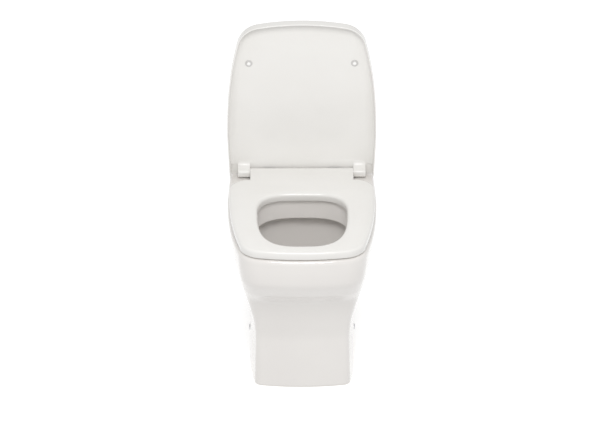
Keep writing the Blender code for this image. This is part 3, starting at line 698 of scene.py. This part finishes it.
def lid_swing_room():
    """Cutter that rounds the rear of the walls about the hinge axis, so they clear the deck."""
    outline = arc((0, 0), LID_SWING_RADIUS, -pi / 2, -radians(15), 24)
    outline += [(0.030, outline[-1][1]), (0.030, -0.030), (0, -0.030)]
    return extruded_x("lid_swing_room", outline, -0.190, 0.190)


def make_lid():
    lid = lid_outside()
    cut(lid, lid_inside())
    low_z, end_y = LID_EDGE - 0.002, LID_REAR + 0.002
    for name, half_width, start_y in (("lid_rear_gap", LUG_INNER_X + 0.001, -0.030),
                                      ("lid_corner_gap", LID_GAP_HALF_WIDTH, LID_GAP_START)):
        cut(lid, box(name, (-half_width, start_y, low_z), (half_width, end_y, LID_INNER)))
    cut(lid, lid_swing_room())
    for side in (-1, 1):
        join(lid, lid_lug(side))
        cut(lid, cylinder("lid_bore", DAMPER_BORE, side * 0.120, side * 0.150, (0, 0, 0), "X", 40))
    bevelled(lid, 0.0006, 3, 40)
    bake_modifiers(lid)
    return smooth(lid, 30)


# ---------------------------------------------------------------- turned pieces

def rounded(profile, radius, steps=4):
    """Profile whose corners away from the axis are rounded."""
    points = [Vector(p) for p in profile]
    made = []
    for i, here in enumerate(points):
        before = points[i - 1]
        after = points[(i + 1) % len(points)]
        if here.x < 1e-6:
            made.append(tuple(here))
            continue
        r = min(radius, 0.45 * (before - here).length, 0.45 * (after - here).length)
        start = here + (before - here).normalized() * r
        end = here + (after - here).normalized() * r
        for k in range(steps + 1):
            t = k / steps
            made.append(tuple(start * (1 - t) ** 2 + here * 2 * t * (1 - t) + end * t**2))
    return made


def turned(name, profile, centre, axis="Z", rounding=0.0004, segments=56):
    place = Matrix.Translation(centre) @ FROM_Z[axis]
    loop = rounded(profile, rounding)
    bm = bmesh.new()
    poles = [bm.verts.new(place @ Vector((0, 0, h))) if r < 1e-7 else None for r, h in loop]
    columns = []
    for i in range(segments):
        angle = 2 * pi * i / segments
        columns.append([poles[k] or bm.verts.new(place @ Vector((r * cos(angle), r * sin(angle), h)))
                        for k, (r, h) in enumerate(loop)])
    for i in range(segments):
        here, there = columns[i], columns[(i + 1) % segments]
        for k in range(len(loop)):
            m = (k + 1) % len(loop)
            unique = list(dict.fromkeys((here[k], there[k], there[m], here[m])))
            if len(unique) > 2:
                bm.faces.new(unique)
    return smooth(object_from(bm, name), 50)


def threads(profile_radius, start, end, pitch, depth=0.00035):
    """Outer edge of a threaded length, as small V rings."""
    count = int((end - start) / pitch)
    points = []
    for i in range(count):
        z = start + i * pitch
        points.append((profile_radius - depth, z))
        points.append((profile_radius, z + pitch / 2))
    points.append((profile_radius - depth, start + count * pitch))
    return points


# ---------------------------------------------------------------- materials

class Recipe:
    """Node tree of one material, with the object's own coordinates ready to use."""

    def __init__(self, name, colour, roughness, metallic=0.0):
        self.material = bpy.data.materials.new(name)
        self.material.use_nodes = True
        self.tree = self.material.node_tree
        self.shader = self.tree.nodes["Principled BSDF"]
        self.shader.inputs["Base Color"].default_value = (*colour, 1.0)
        self.shader.inputs["Roughness"].default_value = roughness
        self.shader.inputs["Metallic"].default_value = metallic
        self.place = self.tree.nodes.new("ShaderNodeTexCoord").outputs["Object"]

    def link(self, source, target):
        self.tree.links.new(source, target)

    def stretched(self, scale):
        node = self.tree.nodes.new("ShaderNodeMapping")
        node.inputs["Scale"].default_value = scale
        self.link(self.place, node.inputs["Vector"])
        return node.outputs["Vector"]

    def noise(self, scale, detail=3.0, vector=None):
        node = self.tree.nodes.new("ShaderNodeTexNoise")
        node.inputs["Scale"].default_value = scale
        node.inputs["Detail"].default_value = detail
        self.link(vector or self.place, node.inputs["Vector"])
        return node.outputs["Fac"]

    def ramp(self, source, low, high, low_value, high_value):
        node = self.tree.nodes.new("ShaderNodeMapRange")
        limits = {"From Min": low, "From Max": high, "To Min": low_value, "To Max": high_value}
        for socket, value in limits.items():
            node.inputs[socket].default_value = value
        self.link(source, node.inputs["Value"])
        return node.outputs["Result"]

    def mix(self, factor, first, second):
        node = self.tree.nodes.new("ShaderNodeMix")
        node.data_type = "RGBA"
        self.link(factor, node.inputs[0])
        for socket, value in ((node.inputs[6], first), (node.inputs[7], second)):
            if isinstance(value, tuple):
                socket.default_value = (*value, 1.0)
            else:
                self.link(value, socket)
        return node.outputs[2]

    def height(self, axis="Z"):
        node = self.tree.nodes.new("ShaderNodeSeparateXYZ")
        self.link(self.place, node.inputs[0])
        return node.outputs[axis]

    def bump(self, source, strength, distance):
        node = self.tree.nodes.new("ShaderNodeBump")
        node.inputs["Strength"].default_value = strength
        node.inputs["Distance"].default_value = distance
        self.link(source, node.inputs["Height"])
        previous = self.shader.inputs["Normal"].links
        if previous:
            self.link(previous[0].from_socket, node.inputs["Normal"])
        self.link(node.outputs["Normal"], self.shader.inputs["Normal"])

    def colour(self, source):
        self.link(source, self.shader.inputs["Base Color"])

    def roughness(self, source):
        self.link(source, self.shader.inputs["Roughness"])

    def coat(self, weight, roughness):
        self.shader.inputs["Coat Weight"].default_value = weight
        self.shader.inputs["Coat Roughness"].default_value = roughness


GLAZE = (0.810, 0.783, 0.755)
BISQUE = (0.70, 0.66, 0.60)


def glazed_ceramic():
    made = Recipe("white_glazed_ceramic", GLAZE, 0.13)
    cloudy = made.ramp(made.noise(6.0, 2.0), 0.35, 0.65, 0.0, 1.0)
    glaze = made.mix(cloudy, (0.800, 0.772, 0.745), (0.820, 0.794, 0.766))
    specks = made.ramp(made.noise(900.0, 1.0), 0.78, 0.82, 0.0, 0.35)
    glaze = made.mix(specks, glaze, (0.70, 0.66, 0.60))
    bare = made.ramp(made.height("Z"), 0.0008, 0.0022, 1.0, 0.0)
    made.colour(made.mix(bare, glaze, BISQUE))
    made.roughness(made.ramp(made.noise(14.0, 3.0), 0.3, 0.7, 0.10, 0.17))
    made.bump(made.noise(38.0, 1.5), 0.10, 0.0010)
    made.bump(made.noise(260.0, 2.0), 0.035, 0.0004)
    made.coat(0.55, 0.04)
    made.shader.inputs["IOR"].default_value = 1.52
    return made.material


def gloss_plastic(name, first, second, roughness=0.22):
    made = Recipe(name, first, roughness)
    made.colour(made.mix(made.ramp(made.noise(9.0, 2.0), 0.35, 0.65, 0.0, 1.0), first, second))
    made.roughness(made.ramp(made.noise(22.0, 3.0), 0.3, 0.7, roughness - 0.04, roughness + 0.05))
    made.bump(made.noise(420.0, 2.0), 0.04, 0.0003)
    made.coat(0.25, 0.08)
    return made.material


def grained_plastic(name, first, second, grain=1400.0):
    made = Recipe(name, first, 0.5)
    made.colour(made.mix(made.noise(60.0, 3.0), first, second))
    made.roughness(made.ramp(made.noise(300.0, 3.0), 0.3, 0.7, 0.42, 0.58))
    made.bump(made.noise(grain, 3.0), 0.22, 0.0002)
    return made.material


def soft_rubber(name, first, second, roughness):
    made = Recipe(name, first, roughness)
    made.colour(made.mix(made.noise(120.0, 3.0), first, second))
    made.roughness(made.ramp(made.noise(500.0, 3.0), 0.3, 0.7, roughness - 0.08, roughness + 0.10))
    made.bump(made.noise(1600.0, 2.0), 0.15, 0.0002)
    return made.material


def brushed_steel(name, along):
    made = Recipe(name, (0.62, 0.62, 0.63), 0.28, 1.0)
    scale = [2200.0 if axis != along else 60.0 for axis in "XYZ"]
    streaks = made.noise(1.0, 4.0, made.stretched(scale))
    made.colour(made.mix(streaks, (0.55, 0.55, 0.56), (0.68, 0.68, 0.69)))
    made.roughness(made.ramp(streaks, 0.3, 0.7, 0.20, 0.36))
    made.bump(streaks, 0.12, 0.0001)
    return made.material


def lid_pad_rubber_painted_light():
    """Pale rubber with a painted highlight at the tip that fades to painted shade at the flange, placed
    by the pad's Y in the lid's resting place.
    """
    made = Recipe("pale_pad_rubber_painted_light", (0.84, 0.835, 0.82), 0.22)
    # Painted light: the tip is painted bright as a highlight and the flange grey as shade round the dome
    depth = made.ramp(made.height("Y"), PAD_TIP_Y, PAD_FLANGE_Y, 0.0, 1.0)
    made.colour(made.mix(depth, (0.95, 0.945, 0.93), (0.62, 0.61, 0.595)))
    made.roughness(made.ramp(made.noise(500.0, 3.0), 0.3, 0.7, 0.14, 0.32))
    made.bump(made.noise(1600.0, 2.0), 0.15, 0.0002)
    return made.material


def studio_floor():
    made = Recipe("pale_floor", (0.96, 0.96, 0.96), 0.9)
    made.colour(made.mix(made.noise(2.0, 2.0), (0.955, 0.955, 0.955), (0.965, 0.965, 0.965)))
    made.shader.inputs["Specular IOR Level"].default_value = 0.0
    made.shader.inputs["Emission Color"].default_value = (1.0, 1.0, 1.0, 1.0)
    made.shader.inputs["Emission Strength"].default_value = 0.36
    return made.material


# ---------------------------------------------------------------- build

CERAMIC = glazed_ceramic()
SEAT_PLASTIC = gloss_plastic("white_gloss_plastic", (0.822, 0.808, 0.780), (0.836, 0.823, 0.797))
NUT_PLASTIC = gloss_plastic("white_nut_plastic", (0.78, 0.78, 0.76), (0.82, 0.82, 0.80), 0.38)
GREY_PLASTIC = grained_plastic("grey_plastic", (0.33, 0.34, 0.35), (0.38, 0.39, 0.40))
DAMPER_PLASTIC = grained_plastic("damper_plastic", (0.30, 0.31, 0.33), (0.34, 0.35, 0.37), 900.0)
BUFFER_RUBBER = soft_rubber("pale_rubber", (0.84, 0.835, 0.82), (0.88, 0.875, 0.86), 0.22)
LID_PAD_RUBBER_PAINTED_LIGHT = lid_pad_rubber_painted_light()
BLACK_RUBBER = soft_rubber("black_rubber", (0.022, 0.022, 0.023), (0.036, 0.036, 0.037), 0.68)
STEEL_X = brushed_steel("steel_along_x", "X")
STEEL_Y = brushed_steel("steel_along_y", "Y")
STEEL_Z = brushed_steel("steel_along_z", "Z")

SEAT_PLACE = Matrix.Translation(AXIS)
LID_PLACE = SEAT_PLACE @ Matrix.Rotation(-LID_OPEN_ANGLE, 4, "X")
SIDES = (("left", -1), ("right", 1))


def build_pan():
    settle(make_pan(), "pan_body", ["pan"], CERAMIC)
    settle(make_bowl(), "pan_body", ["pan"], CERAMIC)


def build_seat():
    settle(make_seat(), "seat_body", ["seat"], SEAT_PLASTIC, SEAT_PLACE)
    floor = RIM_HEIGHT - AXIS.z + CLEARANCE
    top = SEAT_BOTTOM - CLEARANCE
    profile = [(0, floor), (0.0070, floor), (0.0090, floor + 0.0015), (0.0090, top), (0.0040, top),
               (0.0040, top + 0.0045), (0, top + 0.0045)]
    names = ("front_left", "front_right", "rear_left", "rear_right")
    for name, (x, y) in zip(names, seat_buffer_places()):
        buffer = turned("seat_pad_" + name, profile, (x, y, 0), "Z", 0.0009)
        settle(buffer, "seat_body", ["seat_buffer_" + name], BUFFER_RUBBER, SEAT_PLACE)


def build_lid():
    settle(make_lid(), "lid_body", ["lid"], SEAT_PLASTIC, LID_PLACE)
    top = LID_INNER - CLEARANCE
    tip = SEAT_TOP + CLEARANCE
    dome = [(0, tip)]
    for i in range(1, 11):
        angle = pi / 2 * i / 10
        dome.append((0.0056 * sin(angle), tip + 0.0030 * (1 - cos(angle))))
    profile = dome + [(0.0060, top - 0.0003), (0.0084, top - 0.0006), (0.0090, top - 0.0002),
                      (0.0090, top), (0.0035, top), (0.0035, top + 0.0020), (0, top + 0.0020)]
    for name, side in SIDES:
        place = (side * LID_PAD_X, LID_PAD_Y, 0)
        buffer = turned("lid_pad_" + name, profile, place, "Z", 0.0002)
        settle(buffer, "lid_body", ["lid_buffer_" + name], LID_PAD_RUBBER_PAINTED_LIGHT, LID_PLACE)


def build_hinges():
    for name, side in SIDES:
        pin = [(0, PIN_START_X), (0.0040, PIN_START_X), (0.0040, PIN_END_X), (0, PIN_END_X)]
        pin = [(r, side * h) for r, h in pin]
        settle(turned("axle_" + name, pin, AXIS, "X", 0.0008), "hinge_carrier", ["hinge_pin_" + name],
               STEEL_X)
        for label, (start, end), body, place in (("seat", SEAT_DAMPER_X, "seat_body", SEAT_PLACE),
                                                 ("lid", LID_DAMPER_X, "lid_body", LID_PLACE)):
            groove = (start + end) / 2
            sleeve = [(BORE_RADIUS, start), (0.0060, start), (0.0060, groove - 0.0010),
                      (0.0056, groove - 0.0005), (0.0056, groove + 0.0005), (0.0060, groove + 0.0010),
                      (0.0060, end), (BORE_RADIUS, end)]
            sleeve = [(r, side * h) for r, h in sleeve]
            settle(turned(f"{label}_damper_sleeve_{name}", sleeve, (0, 0, 0), "X", 0.0004), body,
                   [f"{label}_damper_{name}"], DAMPER_PLASTIC, place)
        front = -0.0185 - 0.0030
        button = [(0, front + 0.0004), (0.0014, front + 0.0002), (0.0024, front),
                  (0.0032, front + 0.0008), (0.0032, front + 0.0095), (0, front + 0.0095)]
        centre = AXIS + Vector((side * STUD_X, 0, 0.0012))
        settle(turned("push_button_" + name, button, centre, "Y", 0.0003), name + "_button",
               ["release_button_" + name], STEEL_Y)


def build_seat_fixings():
    deck = RIM_HEIGHT + CLEARANCE
    under = DECK_UNDERSIDE - 0.0005
    for name, side in SIDES:
        place = (side * STUD_X, STUD_Y, 0)
        stud = [(0, 0.345), (0.0032, 0.345)] + threads(0.0040, 0.346, 0.398, 0.00125)
        stud += [(0.0040, deck), (0.0130, deck), (0.0130, deck + 0.0018), (0.0050, deck + 0.0020),
                 (0.0050, 0.4078), (0.0043, 0.4085), (0, 0.4085)]
        settle(turned("mounting_stud_" + name, stud, place, "Z", 0.0002), "pan_body",
               ["seat_stud_" + name], STEEL_Z)
        bush = [(0.0043, under - 0.008), (0.0120, under - 0.008), (0.0130, under - 0.006),
                (0.0130, under), (0.0067, under), (0.0067, 0.3990), (0.0043, 0.3990)]
        settle(turned("bush_" + name, bush, place, "Z", 0.0005), "pan_body", ["stud_bush_" + name],
               BLACK_RUBBER)
        top = under - 0.0083
        washer = [(0.0043, top - 0.0015), (0.0120, top - 0.0015), (0.0120, top), (0.0043, top)]
        settle(turned("washer_" + name, washer, place, "Z", 0.0003), "pan_body", ["stud_washer_" + name],
               STEEL_Z)


def build_inlet_seal():
    bore, outer, flange, end = 0.020, INLET_RADIUS - 0.0006, INLET_RADIUS + 0.006, INLET_END_Y
    profile = [(bore + 0.003, end - 0.030), (outer - 0.004, end - 0.030), (outer - 0.001, end - 0.020),
               (outer, end - 0.018), (outer - 0.0012, end - 0.015), (outer, end - 0.012),
               (outer - 0.0012, end - 0.009), (outer, end - 0.006), (outer, end), (flange, end),
               (flange, end + 0.004), (bore + 0.002, end + 0.004), (bore, end + 0.001),
               (bore, end - 0.018)]
    settle(turned("flush_seal", profile, (0, 0, INLET_Z), "Y", 0.0010, 72), "pan_body", ["inlet_seal"],
           BLACK_RUBBER)


def build_floor_fixings():
    for name, side in SIDES:
        head = FIXING_FACE_X - 0.0007
        screw = [(0, 0.098), (0.0015, 0.098)] + threads(0.0024, 0.101, head - 0.0040, 0.0016)
        screw += [(0.0024, head - 0.0030), (0.0052, head - 0.0030), (0.0052, head - 0.0012),
                  (0.0036, head), (0, head)]
        place = (0, FIXING_Y, FIXING_Z)
        screw = [(r, side * h) for r, h in screw]
        settle(turned("skirt_screw_" + name, screw, place, "X", 0.0002), "pan_body",
               ["side_screw_" + name], STEEL_X)
        base = FIXING_FACE_X + CLEARANCE
        cap = [(0, base), (0.0080, base), (0.0080, base + 0.0010), (0.0066, base + 0.0024),
               (0.0036, base + 0.0031), (0, base + 0.0033)]
        cap = [(r, side * h) for r, h in cap]
        settle(turned("cover_cap_" + name, cap, place, "X", 0.0008), "pan_body",
               ["side_cap_" + name], STEEL_X)


def finish_carried_nodes():
    """Hinge blocks, wing nuts and floor brackets keep their own solids, with rounded edges."""
    for name, _ in SIDES:
        for node, finish, width in (("hinge_block_", GREY_PLASTIC, 0.0005),
                                    ("wing_nut_", NUT_PLASTIC, 0.0008),
                                    ("floor_bracket_", GREY_PLASTIC, 0.0007)):
            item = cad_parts[node + name]
            for material_slot in item.material_slots:
                material_slot.material = finish
            bevelled(item, width, 3, 40)


def build_stage():
    bm = bmesh.new()
    half = FLOOR_HALF_SIZE
    corners = ((-half, -half), (half, -half), (half, half), (-half, half))
    bm.faces.new([bm.verts.new((x, y, -CLEARANCE)) for x, y in corners])
    floor = object_from(bm, "studio_floor")
    floor.data.materials.append(studio_floor())
    floor.visible_diffuse = False


def add_area_light(name, place, target, size, power, colour=(1.0, 1.0, 1.0)):
    data = bpy.data.lights.new(name, "AREA")
    data.shape = "RECTANGLE"
    data.size, data.size_y = size
    data.energy = power
    data.color = colour
    lamp = bpy.data.objects.new(name, data)
    lamp.location = place
    lamp.rotation_euler = (Vector(target) - Vector(place)).to_track_quat("-Z", "Y").to_euler()
    bpy.context.scene.collection.objects.link(lamp)


def light_scene():
    world = bpy.data.worlds.new("studio")
    bpy.context.scene.world = world
    world.use_nodes = True
    background = world.node_tree.nodes["Background"]
    background.inputs["Color"].default_value = (1.0, 1.0, 1.0, 1.0)
    background.inputs["Strength"].default_value = WORLD_STRENGTH
    add_area_light("key", (0.0, -1.85, 2.75), (0.0, 0.0, 0.4), (1.2, 0.9), KEY_POWER)
    add_area_light("low_fill", (0.0, -3.4, 0.9), (0.0, 0.0, 0.2), (1.6, 0.5), FILL_POWER)


def add_camera():
    direction = Vector((sin(CAMERA_AZIMUTH) * cos(CAMERA_ELEVATION),
                        cos(CAMERA_AZIMUTH) * cos(CAMERA_ELEVATION), -sin(CAMERA_ELEVATION)))
    data = bpy.data.cameras.new("camera")
    data.sensor_width = 36.0
    data.lens = data.sensor_width * CAMERA_DISTANCE / VIEW_WIDTH
    data.clip_end = 120.0
    camera = bpy.data.objects.new("camera", data)
    camera.location = CAMERA_TARGET - direction * CAMERA_DISTANCE
    camera.rotation_euler = direction.to_track_quat("-Z", "Y").to_euler()
    bpy.context.scene.collection.objects.link(camera)
    bpy.context.scene.camera = camera


build_pan()
build_seat()
build_lid()
build_hinges()
build_seat_fixings()
build_inlet_seal()
build_floor_fixings()
finish_carried_nodes()
build_stage()
light_scene()
add_camera()
bpy.context.scene.view_settings.view_transform = "Standard"
